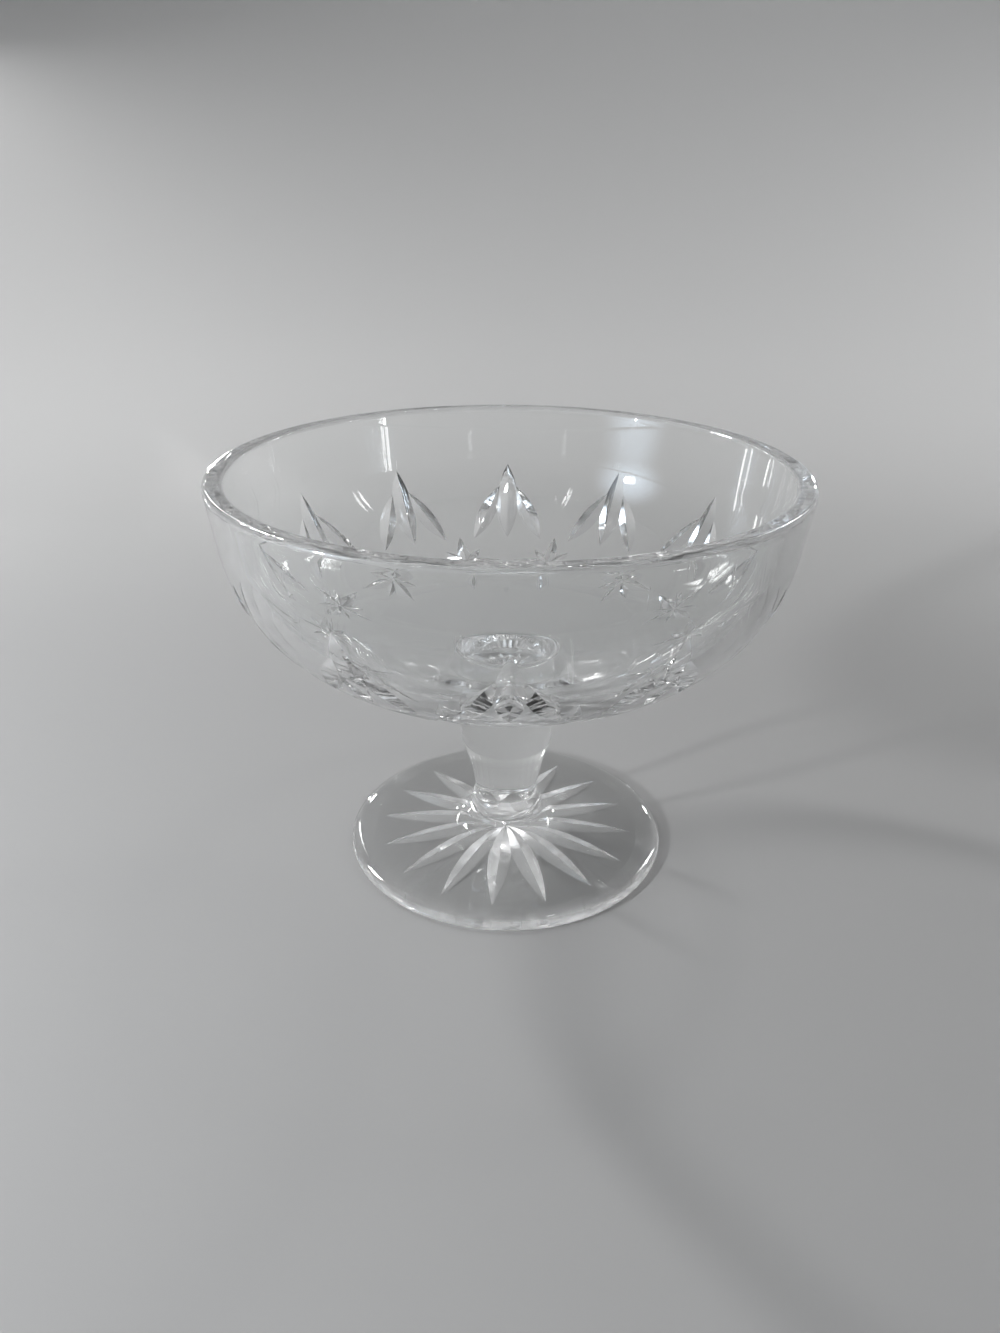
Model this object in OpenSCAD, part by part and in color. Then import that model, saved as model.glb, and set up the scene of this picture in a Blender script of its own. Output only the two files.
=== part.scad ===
// A footed bowl of cut crystal, hot-joined from four gathers of glass.
// The base of the foot lies on z = 0 and the axis of the bowl is the Z axis.

/* [Bowl] */
// Outer diameter over the rim
rim_d = 171; // [150:1:200]
// Thickness of the wall
wall_t = 5.6; // [4.5:0.1:7]
// Thickness of the floor on the axis
floor_t = 9; // [7:0.1:11]
// Height of the straight, flared band under the rim
band_h = 17; // [10:0.5:24]
// Lean of that band away from the upright, in degrees
band_flare = 7.6; // [2:0.2:12]
// Radius of the belly curve in a section through the axis
belly_r = 49; // [42:0.5:58]
// Radius of the shallow curve of the underside
under_r = 150; // [130:1:175]
// Radius of the polished edges of the rim
rim_round = 1.5; // [0.8:0.1:2.2]

/* [Fan cuts] */
// Number of fans round the wall, each of three pointed cuts that spread from a common foot
fan_count = 12; // [8:1:12]
// Place of the feet of the fans on the belly curve, in degrees up from its lowest point
fan_at = 43; // [40:0.5:46]
// Length of the upright middle cut
middle_len = 29; // [24:0.5:31]
// Depth of the middle cut, halfway up
middle_depth = 3; // [2.6:0.1:3.3]
// Length of the two slanting cuts
side_len = 23; // [18:0.5:24]
// Depth of the slanting cuts, halfway up
side_depth = 2.3; // [2:0.1:2.7]
// Lean of the slanting cuts away from the middle one, in degrees
side_lean = 27; // [22:1:32]
// Distance between the feet of the middle cut and a slanting one
side_gap = 2.6; // [2:0.1:4]
// Angle between a flank and the plane through the keel of a cut, in degrees
fan_flank = 54; // [48:1:60]

/* [Star cuts] */
// Number of eight-rayed stars, which stand between the fans
star_count = 12; // [8:1:12]
// Place of their middles on the belly curve, in degrees up from its lowest point
star_at = 29; // [26:0.5:31]
// Length of the upright and level rays, from the middle
long_ray = 13.5; // [9:0.1:13.8]
// Length of the slanting rays, from the middle
short_ray = 9.4; // [6:0.1:10]
// Distance from the middle to the notches between the rays
ray_notch = 3.4; // [2.4:0.1:4]
// Depth of a star at its middle
star_depth = 2.5; // [1.8:0.1:3]

/* [Stem] */
// Height of the stem
stem_h = 43.9; // [34:0.1:62]
// Diameter of its round cap, which meets the bowl
cap_d = 29.5; // [26:0.5:34]
// Diameter at the lower end
low_d = 19.6; // [17:0.2:21]
// Radius of the hollow sweep up the side
sweep_r = 88; // [75:1:110]
// How far the narrowest point of that sweep lies under the lower end
sweep_drop = 11; // [6:0.5:14]
// Radius of the soft edge under the cap
cap_round = 5; // [3:0.5:7]
// Radius of the hollow fillet that the hot glass forms between the cap and the bowl
joint_fillet = 3.8; // [2:0.1:5]

/* [Stem collar] */
// Height of the ring of glass between stem and foot
collar_h = 6.5; // [5:0.1:8]
// Largest diameter of the ring
collar_d = 23.6; // [22.6:0.2:26]
// Radius of its bulged side
bulge_r = 5; // [4.2:0.1:6]

/* [Foot] */
// Diameter of the foot
foot_d = 104; // [92:1:130]
// Height of the crown, which carries the ring
foot_h = 10.5; // [9.5:0.1:13]
// Diameter of the crown
crown_d = 23.4; // [22.4:0.2:26]
// Radius of the hollow curve up to the crown
crown_r = 11.5; // [9:0.5:14]
// Slope of the top of the foot, in degrees
foot_slope = 6.5; // [5:0.1:8]
// Steepest slope of the hollow curve, in degrees
crown_slope = 55; // [40:1:65]
// Radius of the lip round the edge
lip_r = 0.9; // [0.7:0.05:1.2]
// Radius of the curve that rounds the top over to the lip
edge_r = 9; // [7:0.5:12]
// Slope at which that curve meets the lip, in degrees
edge_slope = 34; // [28:1:45]
// Width of the flat ring that the foot rests on
rest_w = 7; // [4:0.5:10]
// Height of the hollow under the foot, on the axis
hollow_h = 0.8; // [0.4:0.1:1.2]

/* [Star under the foot] */
// Number of rays
foot_rays = 16; // [8:1:16]
// Distance from the axis to the tips of the rays
foot_ray_tip = 39.5; // [30:0.5:41]
// Distance from the axis to the notches between the rays
foot_ray_notch = 17.5; // [12:0.5:19]
// Depth of the star on the axis
foot_star_depth = 2.8; // [1.8:0.1:3.2]

/* [Hidden] */

// Overrun of the cutting wheels past the glass that they cut
over = 0.5;
// How far the facets of a star are drawn on past its outline, as a scale of the pit
pit_spread = 1.6;
// How far the flat joint with the stem lies below the curve of the underside
seat_drop = 0.3;
// Steps of the arcs in the outlines
belly_steps = 9;
under_steps = 6;
small_steps = 4;
sweep_steps = 10;
$fn = 96;

// Heights of the joints
collar_z = foot_h;
stem_z = collar_z + collar_h;
seat_z = stem_z + stem_h;
under_z = seat_z + seat_drop;

// The belly curve touches the flared band above it and the underside curve below it
belly_x = rim_d / 2 - band_h * tan(band_flare) - belly_r * cos(band_flare);
under_tip = asin(belly_x / (under_r - belly_r));
belly_z = under_z + under_r - (under_r - belly_r) * cos(under_tip);
belly_tip = 90 - band_flare;
rim_z = belly_z - belly_r * sin(band_flare) + band_h;

// The fillet round the joint touches the side of the cap and the underside curve
fillet_x = cap_d / 2 + joint_fillet;
fillet_z = under_z + under_r - sqrt((under_r + joint_fillet) ^ 2 - fillet_x ^ 2);
fillet_tip = asin(fillet_x / (under_r + joint_fillet));
seat_turn = 180 + acos((seat_z - fillet_z) / joint_fillet);

// The stars lie where the belly curve runs on into the underside curve
star_drop = star_at - under_tip;
star_low = belly_r * sin(star_drop);
star_round = belly_r + belly_x / sin(star_at);

// The hollow under the foot reaches out to the ring that it rests on
hollow_r = foot_d / 2 - lip_r - rest_w;

// The inside follows the belly at the wall's thickness and closes over a thicker floor
in_belly_r = belly_r - wall_t;
in_rise = belly_z - under_z - floor_t;
in_under_r = (belly_x ^ 2 + in_rise ^ 2 - in_belly_r ^ 2) / (2 * (in_rise - in_belly_r));
in_under_tip = asin(belly_x / (in_under_r - in_belly_r));

// Direction in a section, as an angle from straight down
function way(a) = [sin(a), -cos(a)];

// Points of an arc in a section, from one direction to another
function arc(centre, r, from, to, steps) =
    [for (i = [0:steps]) centre + r * way(from + (to - from) * i / steps)];

// The same points without the first, for an arc that carries on from another
function next_arc(centre, r, from, to, steps) =
    [for (i = [1:steps]) centre + r * way(from + (to - from) * i / steps)];

// Section of the bowl, from the seat on the stem up the outside and down the inside
module bowl_section() {
    belly = [belly_x, belly_z];
    out = way(belly_tip);
    lean = [sin(band_flare), cos(band_flare)];
    round_z = rim_z - rim_round;
    low_out = belly + (belly_r - rim_round) * out;
    low_in = belly + (in_belly_r + rim_round) * out;
    rim_out = low_out + (round_z - low_out[1]) / lean[1] * lean;
    rim_in = low_in + (round_z - low_in[1]) / lean[1] * lean;
    polygon(concat(
        [[0, seat_z]],
        arc([fillet_x, fillet_z], joint_fillet, seat_turn, 180 + fillet_tip, small_steps),
        next_arc([0, under_z + under_r], under_r, fillet_tip, under_tip, under_steps),
        next_arc(belly, belly_r, under_tip, belly_tip, belly_steps),
        arc(rim_out, rim_round, belly_tip, 180, small_steps),
        arc(rim_in, rim_round, 180, 180 + belly_tip, small_steps),
        arc(belly, in_belly_r, belly_tip, in_under_tip, belly_steps),
        next_arc([0, under_z + floor_t + in_under_r], in_under_r, in_under_tip, 0, under_steps)
    ));
}

// Radius of the wheel that leaves a cut of this length and depth in a curve of radius curve_r
function wheel_r(length, depth, curve_r) = 1 / (8 * depth / length ^ 2 - 1 / curve_r);

// Edge of a cutting wheel, sunk by depth below the origin, with its keel along X
module wheel_edge(r, length, depth, flank) {
    rise = depth + over;
    span = 2.4 * asin(length / 2 / r);
    translate([0, 0, r - depth])
        rotate([90, 90 + span / 2, 0])
            rotate_extrude(angle = span)
                polygon([[r, 0], [r - rise, rise * tan(flank)], [r - rise, -rise * tan(flank)]]);
}

// Puts its child on the belly, with the outward direction along Z
module on_belly(turn, at) {
    rotate([0, 0, turn])
        translate([belly_x + belly_r * sin(at), 0, belly_z - belly_r * cos(at)])
            rotate([0, 180 - at, 0]) children();
}

// One pointed cut whose foot is at the place foot_at of the belly, leaning to one side
module pointed_cut(turn, length, depth, lean) {
    rise = asin(length / 2 / belly_r) * cos(lean);
    around = belly_x + belly_r * sin(fan_at + rise);
    drift = (sign(lean) * side_gap + length / 2 * sin(lean)) / around * 180 / PI;
    on_belly(turn + drift, fan_at + rise)
        rotate([0, 0, lean])
            wheel_edge(wheel_r(length, depth, belly_r), length, depth, fan_flank);
}

module fans() {
    for (i = [0:fan_count - 1]) {
        turn = i * 360 / fan_count;
        pointed_cut(turn, middle_len, middle_depth, 0);
        pointed_cut(turn, side_len, side_depth, side_lean);
        pointed_cut(turn, side_len, side_depth, -side_lean);
    }
}

// A star-shaped pit: flat facets run from its bottom through the outline and past the surface.
// The corners of the outline are ray tips and notches in turn, anticlockwise seen from outside.
module star_pit(bottom, outline) {
    last = len(outline) - 1;
    corners = [for (corner = outline) bottom + pit_spread * (corner - bottom)];
    polyhedron(
        points = concat([bottom, bottom * (1 - pit_spread)], corners),
        faces = concat(
            [for (k = [0:last]) [0, 2 + k, 2 + (k + 1) % (last + 1)]],
            [for (k = [0:last]) [1, 2 + (k + 1) % (last + 1), 2 + k]]
        )
    );
}

// Fall of the surface away from the middle of a star, at x down the wall and y along it. The
// lower rays reach past the belly curve onto the underside curve.
function fall_down(x) =
    x > star_low
        ? sqrt(under_r ^ 2 - (x + (under_r - belly_r) * sin(star_drop)) ^ 2)
          - (under_r - belly_r) * cos(star_drop) - belly_r
        : sqrt(belly_r ^ 2 - x ^ 2) - belly_r;
function fall(x, y) = fall_down(x) + sqrt(star_round ^ 2 - y ^ 2) - star_round;

// Corner k of a star
function star_reach(k) = k % 2 == 1 ? ray_notch : k % 4 == 0 ? long_ray : short_ray;
function star_corner(k) =
    let (x = star_reach(k) * cos(k * 22.5), y = star_reach(k) * sin(k * 22.5))
    [x, y, fall(x, y)];

module stars() {
    for (i = [0:star_count - 1])
        on_belly((i + 0.5) * 360 / star_count, star_at)
            star_pit([0, 0, -star_depth], [for (k = [0:15]) star_corner(k)]);
}

// Bowl with its wheel-cut pattern
module bowl() {
    color("aliceblue")
    difference() {
        rotate_extrude() bowl_section();
        fans();
        stars();
    }
}

// Solid stem: a hollow sweep up to a soft edge and a round cap, and the lower part of the fillet
module stem() {
    low_r = low_d / 2;
    cap_r = cap_d / 2;
    sweep = [low_r + sqrt(sweep_r ^ 2 - sweep_drop ^ 2), stem_z - sweep_drop];
    edge_x = cap_r - cap_round;
    edge_rise = sqrt((sweep_r + cap_round) ^ 2 - (sweep[0] - edge_x) ^ 2);
    edge = [edge_x, sweep[1] + edge_rise];
    lean = asin(edge_rise / (sweep_r + cap_round));
    first = asin(sweep_drop / sweep_r);
    color("aliceblue")
    rotate_extrude() polygon(concat(
        [[0, stem_z]],
        arc(sweep, sweep_r, 270 - first, 270 - lean, sweep_steps),
        next_arc(edge, cap_round, 90 - lean, 90, small_steps),
        arc([fillet_x, fillet_z], joint_fillet, 270, seat_turn, small_steps),
        [[0, seat_z]]
    ));
}

// Ring of glass with a bulged side, between the stem and the foot
module stem_collar() {
    belly = collar_d / 2 - bulge_r;
    low = asin((low_d / 2 - belly) / bulge_r);
    middle_z = stem_z - bulge_r * cos(low);
    base_tip = acos((middle_z - collar_z) / bulge_r);
    color("aliceblue")
    rotate_extrude() polygon(concat(
        [[0, collar_z]],
        arc([belly, middle_z], bulge_r, base_tip, 180 - low, 2 * small_steps),
        [[0, stem_z]]
    ));
}

// Section of the foot, from the resting ring round the lip and up to the crown
module foot_section() {
    rest_r = foot_d / 2 - lip_r;
    lip = [rest_r, lip_r];
    edge = lip - (edge_r - lip_r) * way(180 - edge_slope);
    crown_in = crown_d / 2 + crown_r * sin(crown_slope);
    crown = [crown_in, foot_h + crown_r * cos(crown_slope)];
    polygon(concat(
        [[0, hollow_h], [hollow_r, 0]],
        arc(lip, lip_r, 0, 180 - edge_slope, 2 * small_steps),
        next_arc(edge, edge_r, 180 - edge_slope, 180 - foot_slope, small_steps),
        arc(crown, crown_r, -foot_slope, -crown_slope, under_steps),
        [[0, foot_h]]
    ));
}

// Corner k of the star under the foot, on the shallow cone of its hollow, seen with the foot
// turned over
function foot_reach(k) = k % 2 == 1 ? foot_ray_notch : foot_ray_tip;
function foot_corner(k) =
    let (reach = foot_reach(k), turn = k * 180 / foot_rays)
    [reach * cos(turn), reach * sin(turn), hollow_h * reach / hollow_r];

module foot_star() {
    translate([0, 0, hollow_h])
        rotate([180, 0, -90 / foot_rays])
            star_pit([0, 0, -foot_star_depth], [for (k = [0:2 * foot_rays - 1]) foot_corner(k)]);
}

// Foot: a round disc that sweeps up to its crown, hollowed and star-cut underneath
module foot() {
    color("aliceblue")
    difference() {
        rotate_extrude() foot_section();
        foot_star();
    }
}

bowl();
stem();
stem_collar();
foot();
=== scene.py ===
from math import acos, asin, cos, degrees, pi, radians, sin, sqrt, tan

import bmesh
import bpy
from mathutils import Matrix, Vector


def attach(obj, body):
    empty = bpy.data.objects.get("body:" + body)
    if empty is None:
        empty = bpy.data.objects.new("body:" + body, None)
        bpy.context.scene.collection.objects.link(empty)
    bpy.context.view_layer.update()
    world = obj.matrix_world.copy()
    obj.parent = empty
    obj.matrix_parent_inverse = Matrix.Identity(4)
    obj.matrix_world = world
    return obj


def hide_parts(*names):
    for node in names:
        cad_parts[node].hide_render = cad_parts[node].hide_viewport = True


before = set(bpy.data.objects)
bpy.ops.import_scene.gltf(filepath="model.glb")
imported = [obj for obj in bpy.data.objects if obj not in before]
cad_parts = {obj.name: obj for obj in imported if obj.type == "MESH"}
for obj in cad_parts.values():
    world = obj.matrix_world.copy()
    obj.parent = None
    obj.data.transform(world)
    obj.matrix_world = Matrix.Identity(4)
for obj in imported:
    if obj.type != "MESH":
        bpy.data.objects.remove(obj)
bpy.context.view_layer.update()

mm = 0.001
scene = bpy.context.scene
collection = scene.collection

# what counts as the same place: on the axis and along an outline in mm, in a mesh in m
same = {"axis": 1e-6, "outline": 1e-4, "height": 1e-6, "vertex": 1e-7}


# outlines in a half section, as (distance from the axis, height) in mm
def way(angle):
    return Vector((sin(radians(angle)), -cos(radians(angle))))  # 0 is straight down, 90 outward


def arc(centre, radius, start, end, stepSize):
    steps = max(2, round(abs(end - start) / stepSize))
    turns = [start + (end - start) * i / steps for i in range(steps + 1)]
    return [Vector(centre) + radius * way(t) for t in turns]


def line(start, end, stepSize):
    steps = max(1, round((Vector(end) - Vector(start)).length / stepSize))
    return [Vector(start).lerp(Vector(end), i / steps) for i in range(steps + 1)]


def outline(*runs):
    points = []
    for run in runs:
        for p in run:
            if not points or (p - points[-1]).length > same["outline"]:
                points.append(p)
    return points


def spin(name, points, segments):
    mesh = bpy.data.meshes.new(name)
    verts, rings = [], []
    for p in points:
        if p.x < same["axis"]:
            rings.append([len(verts)])
            verts.append((0, 0, p.y * mm))
            continue
        rings.append(range(len(verts), len(verts) + segments))
        for i in range(segments):
            turn = 2 * pi * i / segments
            verts.append((p.x * mm * cos(turn), p.x * mm * sin(turn), p.y * mm))
    faces = []
    for low, high in zip(rings, rings[1:]):
        for i in range(segments):
            j = (i + 1) % segments
            if len(low) == 1:
                faces.append((low[0], high[j], high[i]))
            elif len(high) == 1:
                faces.append((low[i], low[j], high[0]))
            else:
                faces.append((low[i], low[j], high[j], high[i]))
    mesh.from_pydata(verts, [], faces)
    piece = bpy.data.objects.new(name, mesh)
    collection.objects.link(piece)
    return piece


def turned(angle, axis):
    return Matrix.Rotation(radians(angle), 4, axis)


# the cutter stands this many mm over the surface and is this much longer than its mark
wheel = {"over": 0.6, "longer": 1.22, "steps": 28}


def wheelMark(length, depth, flank, curve=None):
    # a mitre wheel sunk into a curve: deepest under the origin, keel along X, outward is +Z
    radius = 1 / (8 * depth / length ** 2 - (1 / curve if curve else 0))
    rise = depth + wheel["over"]
    inner = radius - rise
    half = wheel["longer"] * asin(length / 2 / radius)
    side = rise * tan(radians(flank))
    verts, faces = [], []
    for i in range(wheel["steps"] + 1):
        turn = half * (2 * i / wheel["steps"] - 1)
        high = radius - depth - inner * cos(turn)
        verts.append((radius * sin(turn), 0, radius - depth - radius * cos(turn)))
        verts.append((inner * sin(turn), side, high))
        verts.append((inner * sin(turn), -side, high))
    for i in range(wheel["steps"]):
        a = 3 * i
        for k in range(3):
            n = (k + 1) % 3
            faces.append((a + k, a + n, a + 3 + n, a + 3 + k))
    last = 3 * wheel["steps"]
    faces.append((0, 2, 1))
    faces.append((last, last + 1, last + 2))
    return verts, faces


def cutter(marks):
    # marks: a list of ((verts, faces) in mm, matrix)
    verts, faces = [], []
    for (points, sides), place in marks:
        base = len(verts)
        verts += [place @ (Vector(p) * mm) for p in points]
        faces += [tuple(base + k for k in f) for f in sides]
    mesh = bpy.data.meshes.new("wheel")
    mesh.from_pydata(verts, [], faces)
    bm = bmesh.new()
    bm.from_mesh(mesh)
    bmesh.ops.recalc_face_normals(bm, faces=bm.faces)
    bm.to_mesh(mesh)
    bm.free()
    tool = bpy.data.objects.new("wheel", mesh)
    collection.objects.link(tool)
    return tool


def cutAway(piece, marks, finish):
    tool = cutter(marks)
    while len(tool.data.materials) <= slots[finish]:
        tool.data.materials.append(piece.data.materials[len(tool.data.materials)])
    for f in tool.data.polygons:
        f.material_index = slots[finish]
    boolean = piece.modifiers.new("cut", "BOOLEAN")
    boolean.operation = "DIFFERENCE"
    boolean.solver = "MANIFOLD"
    boolean.object = tool
    bpy.context.view_layer.objects.active = piece
    bpy.ops.object.modifier_apply(modifier="cut")
    bpy.data.objects.remove(tool)


def finishMesh(piece, sharp=14):
    bm = bmesh.new()
    bm.from_mesh(piece.data)
    bmesh.ops.remove_doubles(bm, verts=bm.verts, dist=same["vertex"])
    bmesh.ops.dissolve_degenerate(bm, edges=bm.edges, dist=same["vertex"])
    bmesh.ops.triangulate(bm, faces=[f for f in bm.faces if len(f.verts) > 4])
    for e in bm.edges:
        e.smooth = len(e.link_faces) == 2 and e.calc_face_angle(0) < radians(sharp)
    for f in bm.faces:
        f.smooth = True
    openEdges = sum(1 for e in bm.edges if len(e.link_faces) != 2)
    bm.to_mesh(piece.data)
    bm.free()
    print(piece.name, len(piece.data.polygons), "faces", openEdges, "open edges")


def nodeMaterial(name):
    material = bpy.data.materials.new(name)
    material.use_nodes = True
    tree = material.node_tree
    tree.nodes.clear()
    return material, tree


def addNode(tree, kind, values):
    node = tree.nodes.new(kind)
    for socket, value in values.items():
        node.inputs[socket].default_value = value
    return node


def surface(tree, shader):
    out = tree.nodes.new("ShaderNodeOutputMaterial")
    tree.links.new(shader.outputs[0], out.inputs["Surface"])


# socket values that every finish of the crystal shares
lead = {
    "glass": {"Base Color": (0.985, 0.992, 0.99, 1), "IOR": 1.545},
    "scratchLay": {"Rotation": (0.5, 0.3, 0.8), "Scale": (1500, 40, 60)},
    "scratch": {"Scale": 1, "Detail": 0},
    "scratchShare": {"From Min": 0.72, "From Max": 0.8},
    "smear": {"Scale": 60, "Detail": 5},
    "smearShare": {"From Min": 0.45, "From Max": 0.8},
    "shadow": {"From Min": 0.28, "To Min": 0.98, "To Max": 0.2},
}

# wave: scale and height in mm of the slow unevenness of the surface
# haze: least and most roughness of smears or grinding
# scratch: depth in mm of the fine lines from the wheel and from use
# clear: share of the light that passes, and the rest is scattered white
finishes = {
    "polished": {"wave": (22, 0.05), "haze": (0.0, 0.02), "scratch": 0.004, "clear": 1},
    "cut": {"wave": (160, 0.01), "haze": (0.0, 0.04), "scratch": 0.01, "clear": 0.97},
    "ray": {"wave": (120, 0.01), "haze": (0.08, 0.22), "scratch": 0.01, "clear": 0.9},
    "rim": {"wave": (210, 0.26), "haze": (0.0, 0.05), "scratch": 0.01, "clear": 0.92},
    "ground": {"wave": (300, 0.01), "haze": (0.12, 0.3), "scratch": 0.03, "clear": 1},
}


def crystal(name, wave, haze, scratch, clear):
    material, tree = nodeMaterial(name)
    link = tree.links.new
    coords = tree.nodes.new("ShaderNodeTexCoord")
    glass = addNode(tree, "ShaderNodeBsdfPrincipled",
                    lead["glass"] | {"Transmission Weight": clear})

    waveNoise = addNode(tree, "ShaderNodeTexNoise", {"Scale": wave[0], "Detail": 1})
    waveBump = addNode(tree, "ShaderNodeBump", {"Strength": 1, "Distance": wave[1] * mm})
    link(coords.outputs["Object"], waveNoise.inputs["Vector"])
    link(waveNoise.outputs["Fac"], waveBump.inputs["Height"])

    lay = addNode(tree, "ShaderNodeMapping", lead["scratchLay"])
    hair = addNode(tree, "ShaderNodeTexNoise", lead["scratch"])
    thin = addNode(tree, "ShaderNodeMapRange", lead["scratchShare"])
    lineBump = addNode(tree, "ShaderNodeBump", {"Strength": 1, "Distance": scratch * mm})
    lineBump.invert = True
    link(coords.outputs["Object"], lay.inputs["Vector"])
    link(lay.outputs[0], hair.inputs["Vector"])
    link(hair.outputs["Fac"], thin.inputs["Value"])
    link(thin.outputs["Result"], lineBump.inputs["Height"])
    link(waveBump.outputs["Normal"], lineBump.inputs["Normal"])
    link(lineBump.outputs["Normal"], glass.inputs["Normal"])

    smear = addNode(tree, "ShaderNodeTexNoise", lead["smear"])
    rough = addNode(tree, "ShaderNodeMapRange",
                    lead["smearShare"] | {"To Min": haze[0], "To Max": haze[1]})
    link(coords.outputs["Object"], smear.inputs["Vector"])
    link(smear.outputs["Fac"], rough.inputs["Value"])
    link(rough.outputs["Result"], glass.inputs["Roughness"])

    # lamps shine through, less where the glass lies along their light
    path = tree.nodes.new("ShaderNodeLightPath")
    either = tree.nodes.new("ShaderNodeMath")
    either.operation = "MAXIMUM"
    edge = addNode(tree, "ShaderNodeLayerWeight", {"Blend": 0.5})
    tone = addNode(tree, "ShaderNodeMapRange", lead["shadow"])
    tone.interpolation_type = "SMOOTHSTEP"
    through = tree.nodes.new("ShaderNodeBsdfTransparent")
    mix = tree.nodes.new("ShaderNodeMixShader")
    link(path.outputs["Is Shadow Ray"], either.inputs[0])
    link(path.outputs["Is Diffuse Ray"], either.inputs[1])
    link(edge.outputs["Facing"], tone.inputs["Value"])
    link(tone.outputs["Result"], through.inputs["Color"])
    link(either.outputs[0], mix.inputs["Fac"])
    link(glass.outputs[0], mix.inputs[1])
    link(through.outputs[0], mix.inputs[2])
    surface(tree, mix)
    return material


looks = {name: crystal(name + "Crystal", **finish) for name, finish in finishes.items()}

# where two pieces were joined hot there is no surface between them
looks["weld"], weldTree = nodeMaterial("weldFace")
surface(weldTree, weldTree.nodes.new("ShaderNodeBsdfTransparent"))

slotOrder = ("polished", "cut", "weld", "rim", "ground", "ray")
slots = {name: i for i, name in enumerate(slotOrder)}


def dress(piece):
    for name in slotOrder:
        piece.data.materials.append(looks[name])


def finishBetween(piece, low, high, finish):
    lowest, highest = low * mm - same["height"], high * mm + same["height"]
    verts = piece.data.vertices
    for f in piece.data.polygons:
        if all(lowest < verts[v].co.z < highest for v in f.vertices):
            f.material_index = slots[finish]


def weldAt(piece, height):
    finishBetween(piece, height, height, "weld")


# camera, fitted to the rim and the foot; its place in mm
view = {"place": (-2.31, -275.1, 197.8), "down": 26.26, "roll": 0.44, "focalPixels": 971.7,
        "tall": 1333, "sensor": 36, "nearest": 0.01}
camera = bpy.data.objects.new("camera", bpy.data.cameras.new("camera"))
collection.objects.link(camera)
camera.data.sensor_width = view["sensor"]
camera.data.lens = view["focalPixels"] * view["sensor"] / view["tall"]
camera.data.clip_start = view["nearest"]
camera.matrix_world = (Matrix.Translation(Vector(view["place"]) * mm)
                       @ turned(90 - view["down"], "X") @ turned(view["roll"], "Z"))
scene.camera = camera
print("camera done")

# heights of the hot joints, and the sizes that two pieces share
joints = {"foot": 10.5, "collar": 17.0, "stem": 60.9, "capR": 14.75, "neckR": 9.8,
          "fillet": 3.8, "filletStep": 5, "topStep": 5}

# bowl
bowl = {"rimR": 85.5, "wall": 5.6, "floor": 9, "band": 17, "flare": 7.6, "bellyR": 49,
        "underR": 150, "underZ": 61.2, "round": 1.5, "rimFinish": 1.7, "segments": 384,
        "underStep": 0.8, "bellyStep": 1.2, "inBellyStep": 1.4, "wallStep": 1.5, "roundStep": 10}


def bowlCurves(bowl):
    c = dict(bowl)
    flare = radians(c["flare"])
    c["bellyX"] = c["rimR"] - c["band"] * tan(flare) - c["bellyR"] * cos(flare)
    c["underTip"] = degrees(asin(c["bellyX"] / (c["underR"] - c["bellyR"])))
    c["bellyZ"] = (c["underZ"] + c["underR"]
                   - (c["underR"] - c["bellyR"]) * cos(radians(c["underTip"])))
    c["rimZ"] = c["bellyZ"] - c["bellyR"] * sin(flare) + c["band"]
    c["inBellyR"] = c["bellyR"] - c["wall"]
    rise = c["bellyZ"] - c["underZ"] - c["floor"]
    c["inUnderR"] = ((c["bellyX"] ** 2 + rise ** 2 - c["inBellyR"] ** 2)
                     / (2 * (rise - c["inBellyR"])))
    c["inUnderTip"] = degrees(asin(c["bellyX"] / (c["inUnderR"] - c["inBellyR"])))
    # the fillet of hot glass round the joint with the stem
    fillet = joints["fillet"]
    c["filletX"] = joints["capR"] + fillet
    c["filletZ"] = (c["underZ"] + c["underR"]
                    - sqrt((c["underR"] + fillet) ** 2 - c["filletX"] ** 2))
    c["filletTip"] = degrees(asin(c["filletX"] / (c["underR"] + fillet)))
    c["seatTurn"] = 180 + degrees(acos((joints["stem"] - c["filletZ"]) / fillet))
    return c


b = bowlCurves(bowl)
bandTip = 90 - b["flare"]
outward = way(bandTip)
slant = Vector((sin(radians(b["flare"])), cos(radians(b["flare"]))))
belly = Vector((b["bellyX"], b["bellyZ"]))
roundZ = b["rimZ"] - b["round"]
lowOut = belly + (b["bellyR"] - b["round"]) * outward
lowIn = belly + (b["inBellyR"] + b["round"]) * outward
rimOut = lowOut + slant * (roundZ - lowOut.y) / slant.y
rimIn = lowIn + slant * (roundZ - lowIn.y) / slant.y
filletMid = (b["filletX"], b["filletZ"])
seat = arc(filletMid, joints["fillet"], b["seatTurn"], 180 + b["filletTip"], joints["filletStep"])
underMid = Vector((0, b["underZ"] + b["underR"]))
inMid = Vector((0, b["underZ"] + b["floor"] + b["inUnderR"]))
bowlOutline = outline(
    line((0, joints["stem"]), seat[0], joints["topStep"]),
    seat,
    arc(underMid, b["underR"], b["filletTip"], b["underTip"], b["underStep"]),
    arc(belly, b["bellyR"], b["underTip"], bandTip, b["bellyStep"]),
    line(belly + b["bellyR"] * outward, rimOut + b["round"] * outward, b["wallStep"]),
    arc(rimOut, b["round"], bandTip, 180, b["roundStep"]),
    arc(rimIn, b["round"], 180, 180 + bandTip, b["roundStep"]),
    line(rimIn - b["round"] * outward, belly + b["inBellyR"] * outward, b["wallStep"]),
    arc(belly, b["inBellyR"], bandTip, b["inUnderTip"], b["inBellyStep"]),
    arc(inMid, b["inUnderR"], b["inUnderTip"], 0, b["underStep"]),
)
bowlGlass = spin("bowlGlass", bowlOutline, b["segments"])
dress(bowlGlass)
weldAt(bowlGlass, joints["stem"])
finishBetween(bowlGlass, b["rimZ"] - b["rimFinish"], b["rimZ"], "rim")


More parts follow.
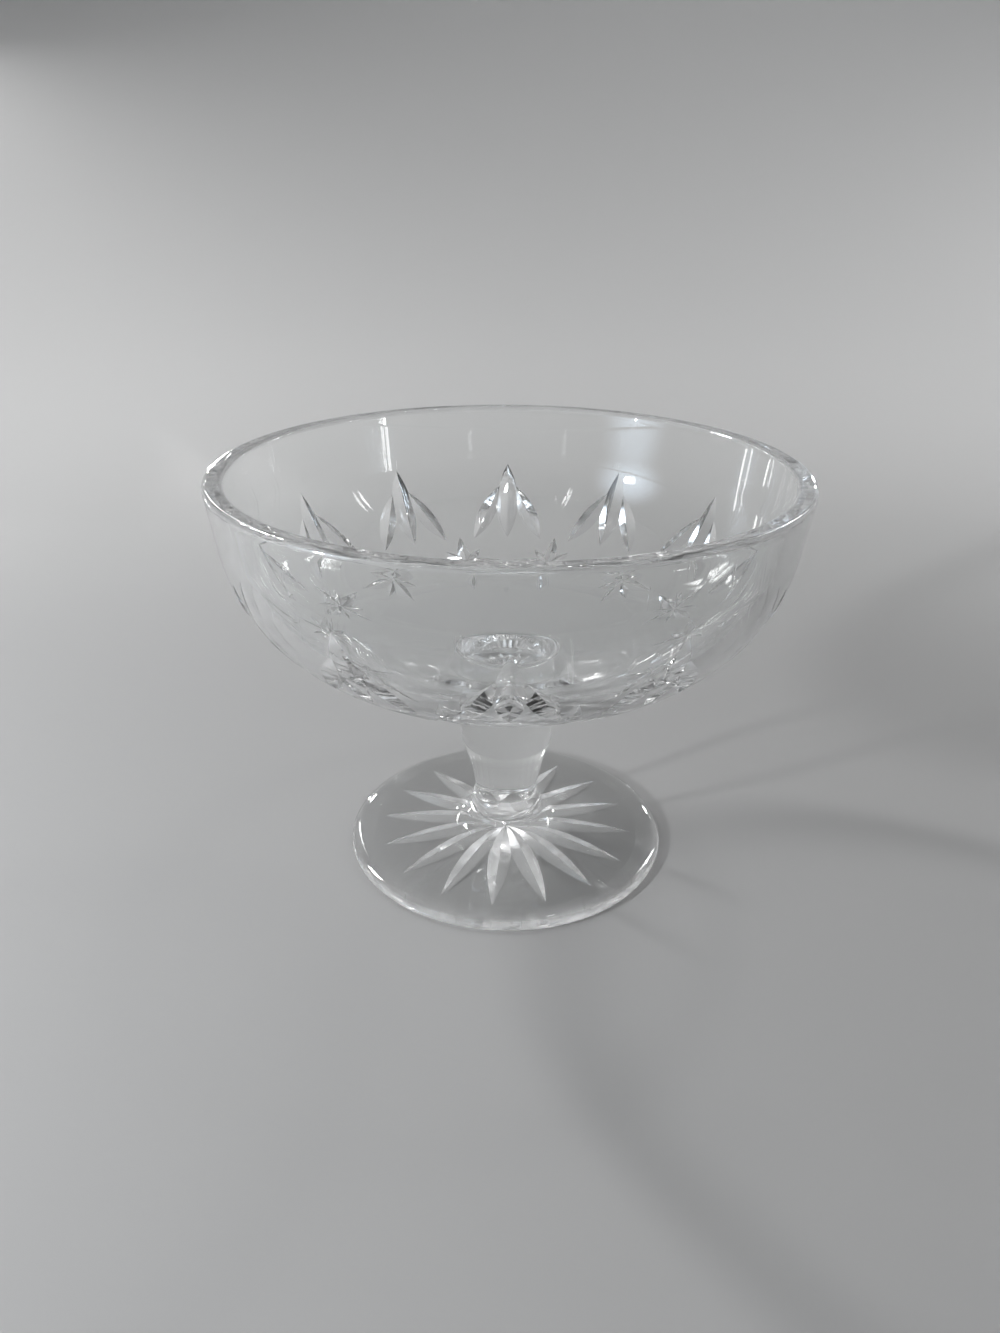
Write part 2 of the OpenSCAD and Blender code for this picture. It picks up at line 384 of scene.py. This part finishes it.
def onBelly(turn, at, twist):
    # a place on the belly, at this many degrees up from its lowest point
    out = way(at)
    spot = Vector((b["bellyX"] + b["bellyR"] * out.x, 0, b["bellyZ"] + b["bellyR"] * out.y)) * mm
    return turned(turn, "Z") @ Matrix.Translation(spot) @ turned(180 - at, "Y") @ turned(twist, "Z")


# a belt of fans, each of three pointed wheel cuts; middle and side are (length, depth)
fans = {"count": 12, "at": 43, "middle": (29, 3.0), "side": (23, 2.3), "lean": 27, "gap": 2.6,
        "flank": 54}
for kind, side in (("middle", 0), ("side", 1), ("side", -1)):
    length, depth = fans[kind]
    lean = side * fans["lean"]
    at = fans["at"] + degrees(asin(length / 2 / b["bellyR"])) * cos(radians(lean))
    around = b["bellyX"] + b["bellyR"] * sin(radians(at))
    drift = degrees((side * fans["gap"] + length / 2 * sin(radians(lean))) / around)
    mark = wheelMark(length, depth, fans["flank"], b["bellyR"])
    marks = [(mark, onBelly(i * 360 / fans["count"] + drift, at, lean))
             for i in range(fans["count"])]
    cutAway(bowlGlass, marks, "cut")

# a belt of eight-rayed stars between the feet of the fans; the slanting rays are short and
# shallow, and the upright ray runs on past the belly, so the wall counts as flatter along it
stars = {"count": 12, "at": 29, "offset": 0.5, "long": 27, "short": 19, "depth": 2.2, "flank": 53,
         "shallower": 0.8, "flatter": 1.2}
levelR = b["bellyR"] + b["bellyX"] / sin(radians(stars["at"]))
for twist in (0, 90, 45, 135):
    square = twist % 90 == 0
    length = stars["long"] if square else stars["short"]
    depth = stars["depth"] * (1 if square else stars["shallower"])
    steep = cos(radians(twist)) ** 2
    curve = 1 / (steep / (b["bellyR"] * stars["flatter"]) + (1 - steep) / levelR)
    mark = wheelMark(length, depth, stars["flank"], curve)
    marks = [(mark, onBelly((i + stars["offset"]) * 360 / stars["count"], stars["at"], twist))
             for i in range(stars["count"])]
    cutAway(bowlGlass, marks, "cut")
finishMesh(bowlGlass)
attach(bowlGlass, "root")
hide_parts("bowl")
print("bowl done")

# stem
stem = {"sweepR": 88, "sweepDrop": 11, "capRound": 5, "segments": 256, "flatStep": 3,
        "sweepStep": 0.6, "capStep": 2}
sweep = Vector((joints["neckR"] + sqrt(stem["sweepR"] ** 2 - stem["sweepDrop"] ** 2),
                joints["collar"] - stem["sweepDrop"]))
edgeX = joints["capR"] - stem["capRound"]
edgeReach = stem["sweepR"] + stem["capRound"]
edgeRise = sqrt(edgeReach ** 2 - (sweep.x - edgeX) ** 2)
edge = Vector((edgeX, sweep.y + edgeRise))
stemLean = degrees(asin(edgeRise / edgeReach))
stemStart = degrees(asin(stem["sweepDrop"] / stem["sweepR"]))
capTop = arc(filletMid, joints["fillet"], 270, b["seatTurn"], joints["filletStep"])
stemOutline = outline(
    line((0, joints["collar"]), (joints["neckR"], joints["collar"]), stem["flatStep"]),
    arc(sweep, stem["sweepR"], 270 - stemStart, 270 - stemLean, stem["sweepStep"]),
    arc(edge, stem["capRound"], 90 - stemLean, 90, stem["capStep"]),
    line((joints["capR"], edge.y), (joints["capR"], b["filletZ"]), stem["capStep"]),
    capTop,
    line(capTop[-1], (0, joints["stem"]), joints["topStep"]),
)
stemGlass = spin("stemGlass", stemOutline, stem["segments"])
dress(stemGlass)
weldAt(stemGlass, joints["stem"])
weldAt(stemGlass, joints["collar"])
finishMesh(stemGlass)
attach(stemGlass, "root")
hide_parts("stem")
print("stem done")

# stem collar
collar = {"widestR": 11.8, "bulgeR": 5, "segments": 256, "flatStep": 3, "bulgeStep": 4}
bulgeX = collar["widestR"] - collar["bulgeR"]
turnTop = degrees(asin((joints["neckR"] - bulgeX) / collar["bulgeR"]))
bulgeZ = joints["collar"] - collar["bulgeR"] * cos(radians(turnTop))
turnLow = degrees(acos((bulgeZ - joints["foot"]) / collar["bulgeR"]))
bulge = arc((bulgeX, bulgeZ), collar["bulgeR"], turnLow, 180 - turnTop, collar["bulgeStep"])
collarOutline = outline(
    line((0, joints["foot"]), bulge[0], collar["flatStep"]),
    bulge,
    line(bulge[-1], (0, joints["collar"]), collar["flatStep"]),
)
collarGlass = spin("collarGlass", collarOutline, collar["segments"])
dress(collarGlass)
weldAt(collarGlass, joints["foot"])
weldAt(collarGlass, joints["collar"])
finishMesh(collarGlass)
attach(collarGlass, "root")
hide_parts("stem_collar")
print("stem collar done")

# foot
foot = {"outerR": 52, "crownR": 11.7, "curveR": 11.5, "slope": 6.5, "crownSlope": 55, "lip": 0.9,
        "edgeR": 9, "edgeSlope": 34, "rest": 7, "hollow": 0.8, "segments": 360,
        "flatStep": 3, "topStep": 2, "lipStep": 8}
restR = foot["outerR"] - foot["lip"]
hollowR = restR - foot["rest"]
crownSlope = radians(foot["crownSlope"])
lip = Vector((restR, foot["lip"]))
footEdge = lip - (foot["edgeR"] - foot["lip"]) * way(180 - foot["edgeSlope"])
crown = Vector((foot["crownR"] + foot["curveR"] * sin(crownSlope),
                joints["foot"] + foot["curveR"] * cos(crownSlope)))
topStart = footEdge + foot["edgeR"] * way(180 - foot["slope"])
topEnd = crown + foot["curveR"] * way(-foot["slope"])
footOutline = outline(
    line((0, foot["hollow"]), (hollowR, 0), foot["flatStep"]),
    line((hollowR, 0), (restR, 0), foot["topStep"]),
    arc(lip, foot["lip"], 0, 180 - foot["edgeSlope"], foot["lipStep"]),
    arc(footEdge, foot["edgeR"], 180 - foot["edgeSlope"], 180 - foot["slope"], foot["topStep"]),
    line(topStart, topEnd, foot["topStep"]),
    arc(crown, foot["curveR"], -foot["slope"], -foot["crownSlope"], foot["topStep"]),
    line((foot["crownR"], joints["foot"]), (0, joints["foot"]), foot["flatStep"]),
)
footGlass = spin("footGlass", footOutline, foot["segments"])
dress(footGlass)
weldAt(footGlass, joints["foot"])
finishBetween(footGlass, 0, 0, "ground")

# a star of rays under the foot, every second ray first; offset is in steps from one to the next
rays = {"count": 16, "offset": -0.25, "tip": 39.5, "middle": 17.5, "depth": 1.8, "flank": 63}
mark = wheelMark(2 * (rays["tip"] - rays["middle"]), rays["depth"], rays["flank"])
underside = foot["hollow"] * (1 - rays["middle"] / hollowR)
rayMiddle = Matrix.Translation(Vector((rays["middle"], 0, underside)) * mm)
for i in (*range(0, rays["count"], 2), *range(1, rays["count"], 2)):
    turn = (i + rays["offset"]) * 360 / rays["count"]
    place = turned(turn, "Z") @ rayMiddle @ turned(180, "X")
    cutAway(footGlass, [(mark, place)], "ray")
finishMesh(footGlass)
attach(footGlass, "root")
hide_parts("foot")
print("foot done")

# floor: a round sweep in mm, pale grey near the bowl and paler far from it; the paler grey far away
# is painted light, making up for the lamps' light that falls off there. The fade between the two
# greys runs over nearTo to farFrom in m
studio = {"flat": 450, "sweep": 700, "drop": 0.15, "high": 1050, "bendEnd": 85, "bendStep": 3,
          "flatStep": 90, "segments": 96, "near": 0.31, "far": 0.56, "nearTo": 0.1,
          "farFrom": 0.75, "roughness": 0.9, "shine": 0.1}
level = -studio["drop"]
bend = arc((studio["flat"], studio["sweep"] + level), studio["sweep"], 0, studio["bendEnd"],
           studio["bendStep"])
floorOutline = outline(
    line((0, level), (studio["flat"], level), studio["flatStep"]),
    bend,
    line(bend[-1], (bend[-1].x, studio["high"]), studio["flatStep"]),
)
floor = spin("floor", floorOutline, studio["segments"])
for poly in floor.data.polygons:
    poly.use_smooth = True
floor.data.flip_normals()
paper, paperTree = nodeMaterial("floorPaper")
paperCoords = paperTree.nodes.new("ShaderNodeTexCoord")
paperFar = paperTree.nodes.new("ShaderNodeVectorMath")
paperFar.operation = "LENGTH"
# grey by distance from the bowl: the paler grey far away is painted light for the lamps' falloff
paperFadeToPaintedLight = addNode(paperTree, "ShaderNodeMapRange", {
    "From Min": studio["nearTo"], "From Max": studio["farFrom"],
    "To Min": studio["near"], "To Max": studio["far"]})
paperFadeToPaintedLight.interpolation_type = "SMOOTHSTEP"
paperShade = addNode(paperTree, "ShaderNodeBsdfPrincipled", {
    "Roughness": studio["roughness"], "Specular IOR Level": studio["shine"]})
paperTree.links.new(paperCoords.outputs["Object"], paperFar.inputs[0])
paperTree.links.new(paperFar.outputs["Value"], paperFadeToPaintedLight.inputs["Value"])
paperTree.links.new(paperFadeToPaintedLight.outputs["Result"], paperShade.inputs["Base Color"])
surface(paperTree, paperShade)
floor.data.materials.append(paper)
print("floor done")


def softbox(name, place, target, size, watts, feather=0.6, colour=(1, 1, 1), spread=180):
    # an area lamp that fades from its middle to its edges, so that the glass shows no hard squares
    inner, outer = (1 - feather) / 2, 0.5  # across the lamp, which is 1 wide
    kept = pi / 3 * (inner ** 2 + inner * outer + outer ** 2)  # share of the light left by the fade
    lamp = bpy.data.lights.new(name, "AREA")
    lamp.shape = "RECTANGLE"
    lamp.size, lamp.size_y = size
    lamp.energy = watts / kept
    lamp.color = colour
    lamp.spread = radians(spread)
    lamp.use_nodes = True
    tree = lamp.node_tree
    spot = tree.nodes.new("ShaderNodeNewGeometry")
    middle = addNode(tree, "ShaderNodeVectorMath", {1: (0.5, 0.5, 0)})
    middle.operation = "SUBTRACT"
    away = tree.nodes.new("ShaderNodeVectorMath")
    away.operation = "LENGTH"
    fade = addNode(tree, "ShaderNodeMapRange", {
        "From Min": inner, "From Max": outer, "To Min": 1, "To Max": 0})
    fade.interpolation_type = "SMOOTHSTEP"
    tree.links.new(spot.outputs["Parametric"], middle.inputs[0])
    tree.links.new(middle.outputs[0], away.inputs[0])
    tree.links.new(away.outputs["Value"], fade.inputs["Value"])
    tree.links.new(fade.outputs["Result"], tree.nodes["Emission"].inputs["Strength"])
    box = bpy.data.objects.new(name, lamp)
    collection.objects.link(box)
    box.location = place
    box.rotation_euler = (Vector(target) - Vector(place)).to_track_quat("-Z", "Y").to_euler()
    box.visible_camera = False


# lamps: place, what they point at, size, all in m, and watts
bowlMiddle = (0, 0, 0.1)
softbox("keyLeft", (-0.72, 0.55, 0.8), (0, 0, 0.06), (0.09, 0.24), 3.8, spread=140)
softbox("windowLeft", (-0.59, -0.306, 0.265), (0.02, 0.03, 0.1), (0.5, 0.6), 1.2, feather=0.9,
        colour=(0.75, 0.87, 1))
softbox("windowCore", (-0.57, -0.296, 0.26), (0.02, 0.03, 0.1), (0.05, 0.075), 2, spread=120)
softbox("stripFrontRight", (0.554, -0.299, 0.14), bowlMiddle, (0.02, 0.15), 0.3)
softbox("stripRight", (0.9, -0.15, 0.5), bowlMiddle, (0.03, 0.35), 0.2)
softbox("stripFrontLeft", (-0.5, -0.75, 0.8), bowlMiddle, (0.03, 0.4), 0.2)
softbox("stripLowLeft", (-0.455, 0.396, 0.06), (0.07, 0.03, 0.11), (0.015, 0.09), 0.03, spread=60)
softbox("stripLowBack", (-0.29, 0.537, 0.04), (0.08, 0.01, 0.11), (0.015, 0.06), 0.03, spread=60)
softbox("stripBackRight", (0.68, 0.6, 0.55), bowlMiddle, (0.08, 0.5), 0.8, feather=0.7)
softbox("stripBackLeft", (-0.55, 0.8, 0.5), bowlMiddle, (0.08, 0.5), 0.7, feather=0.7)
softbox("glintRight", (0.7, 0.6, 0.6), (0, 0, 0.08), (0.06, 0.06), 0.8)
softbox("glintBackLeft", (-0.38, 0.85, 0.28), bowlMiddle, (0.06, 0.06), 0.03, spread=40)
softbox("glintBackRight", (0.45, 0.82, 0.27), bowlMiddle, (0.06, 0.06), 0.03, spread=40)
softbox("glintTop", (0.2, 0.3, 1.1), (0, 0, 0.08), (0.06, 0.06), 0.8)
print("lamps done")

# sky: dim at the horizon and brighter overhead; low and high are (height, grey)
sky = {"strength": 0.62, "low": (0.5, 0.1), "high": (0.95, 0.6)}
world = bpy.data.worlds.new("studio")
scene.world = world
world.use_nodes = True
skyTree = world.node_tree
backdrop = skyTree.nodes["Background"]
backdrop.inputs["Strength"].default_value = sky["strength"]
skyCoords = skyTree.nodes.new("ShaderNodeTexCoord")
skySplit = skyTree.nodes.new("ShaderNodeSeparateXYZ")
skyRamp = skyTree.nodes.new("ShaderNodeValToRGB")
skyTree.links.new(skyCoords.outputs["Generated"], skySplit.inputs["Vector"])
skyTree.links.new(skySplit.outputs["Z"], skyRamp.inputs["Fac"])
skyTree.links.new(skyRamp.outputs["Color"], backdrop.inputs["Color"])
for stop, (height, grey) in zip(skyRamp.color_ramp.elements, (sky["low"], sky["high"])):
    stop.position = height
    stop.color = (grey, grey, grey, 1)
scene.view_settings.view_transform = "Standard"

# enough bounces to see through both walls and the cuts
bounces = {"all": 24, "glossy": 16}
scene.cycles.max_bounces = bounces["all"]
scene.cycles.transmission_bounces = bounces["all"]
scene.cycles.transparent_max_bounces = bounces["all"]
scene.cycles.glossy_bounces = bounces["glossy"]
print("stage done")
